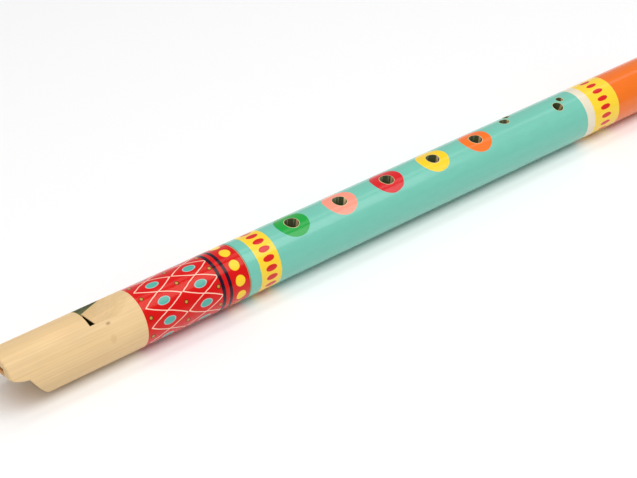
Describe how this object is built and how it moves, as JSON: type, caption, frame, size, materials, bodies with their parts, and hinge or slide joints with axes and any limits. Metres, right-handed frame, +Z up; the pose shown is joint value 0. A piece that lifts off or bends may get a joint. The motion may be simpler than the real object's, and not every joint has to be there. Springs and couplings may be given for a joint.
{
  "type": "recorder",
  "caption": "Painted wooden soprano recorder in two joints, with a beaked mouthpiece, a pressed-in block and a cork-lapped tenon.",
  "frame": {"origin": "under the middle of the tube's length, on the surface that it lies on", "axes": "+X along the tube from the mouthpiece to the foot, +Z up through the finger holes, -Y towards the player's right hand side"},
  "size_m": [0.325, 0.0206, 0.0205],
  "materials": {
    "painted_head": "bare maple at the beak, glossy red paint with painted rings and lozenges beyond it",
    "bare_block": "bare, matte",
    "painted_body": "glossy teal paint with coloured hole patches, yellow bands and an orange foot",
    "cork": "matte cork, lightly greased"
  },
  "bodies": {
    "body": {"body_joint": "painted_body"},
    "lapping": {"tenon_cork": "cork"},
    "head": {"head_joint": "painted_head", "fipple_block": "bare_block"}
  },
  "joints": [
    {"name": "head_turn", "type": "hinge", "parent": "body", "child": "lapping", "pos_m": [-0.0777, 0, 0.01025], "axis": [1, 0, 0], "continuous": true},
    {"name": "head_pull", "type": "slide", "parent": "lapping", "child": "head", "axis": [-1, 0, 0], "range_m": [0, 0.022]}
  ]
}
